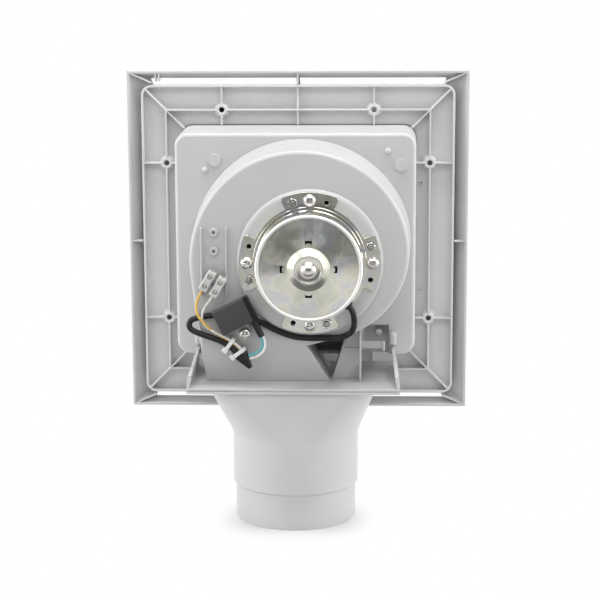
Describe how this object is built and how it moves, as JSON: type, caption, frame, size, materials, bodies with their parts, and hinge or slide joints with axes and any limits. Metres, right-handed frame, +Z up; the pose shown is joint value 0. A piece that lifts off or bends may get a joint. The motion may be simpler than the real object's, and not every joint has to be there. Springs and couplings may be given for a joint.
{
  "type": "wall exhaust fan",
  "caption": "Square wall exhaust fan with a recessed box, centrifugal scroll, capacitor motor and a round duct spigot with a damper, pointing down.",
  "frame": {"origin": "centre of the wall plane, where the mounting frame's rim touches the wall, midway between the wall screws", "axes": "+X to the right as seen from the wall side, +Y out of the wall into the room, +Z up"},
  "size_m": [0.29, 0.1831, 0.3638],
  "materials": {
    "casing_plastic": "satin moulded light grey-white",
    "flap_plastic": "satin moulded grey",
    "impeller_plastic": "satin moulded grey",
    "zinc_plated_steel": "zinc plated with a faint yellow cast",
    "bright_steel": "bright zinc",
    "ground_steel": "ground",
    "lamination_steel": "dull laminations",
    "copper_wire": "enamelled copper",
    "sintered_bronze": "dull sintered",
    "brass": "turned",
    "black_rubber": "matte",
    "black_insulation": "matte",
    "yellow_insulation": "satin",
    "white_insulation": "satin",
    "teal_insulation": "satin",
    "white_nylon": "satin translucent",
    "capacitor_plastic": "fine matte",
    "terminal_plastic": "satin"
  },
  "bodies": {
    "casing": {"mounting_frame": "casing_plastic", "fan_box": "casing_plastic", "box_screws": "bright_steel", "inlet_ring": "casing_plastic", "inlet_ring_screws": "bright_steel", "scroll_casing": "casing_plastic", "scroll_screws": "bright_steel", "outlet_adapter": "casing_plastic", "damper_pin": "bright_steel", "stator_core": "lamination_steel", "stator_windings": "copper_wire", "front_bearing": "sintered_bronze", "rear_bearing": "sintered_bronze", "bearing_retainers": "bright_steel", "motor_front_shell": "zinc_plated_steel", "motor_rear_can": "zinc_plated_steel", "motor_screws": "bright_steel", "motor_bolts": "bright_steel", "motor_nuts": "bright_steel", "lead_grommet": "black_rubber", "motor_lead": "black_insulation", "lead_splice_cap": "black_insulation", "live_wire": "yellow_insulation", "neutral_wire": "white_insulation", "capacitor_wire_teal": "teal_insulation", "capacitor_wire_white": "white_insulation", "cable_ties": "white_nylon", "capacitor": "capacitor_plastic", "capacitor_sleeve": "black_insulation", "capacitor_screw": "bright_steel", "terminal_block": "terminal_plastic", "terminal_inserts": "brass", "terminal_screws": "bright_steel"},
    "rotor": {"impeller": "impeller_plastic", "impeller_bush": "brass", "impeller_nut": "bright_steel", "motor_shaft": "ground_steel", "rotor_core": "lamination_steel"},
    "damper_front": {"damper_flap_front": "flap_plastic"},
    "damper_rear": {"damper_flap_rear": "flap_plastic"},
    "cover": {"front_cover": "casing_plastic"}
  },
  "joints": [
    {"name": "rotor_spin", "type": "hinge", "parent": "casing", "child": "rotor", "pos_m": [0.0132, 0, -0.0017], "axis": [0, 1, 0], "continuous": true},
    {"name": "damper_front_swing", "type": "hinge", "parent": "casing", "child": "damper_front", "pos_m": [0, -0.072, -0.165], "axis": [1, 0, 0], "range_deg": [0, 88]},
    {"name": "damper_rear_swing", "type": "hinge", "parent": "casing", "child": "damper_rear", "pos_m": [0, -0.072, -0.165], "axis": [-1, 0, 0], "range_deg": [0, 88]},
    {"name": "cover_pull", "type": "slide", "parent": "casing", "child": "cover", "axis": [0, 1, 0], "range_m": [0, 0.06]}
  ]
}
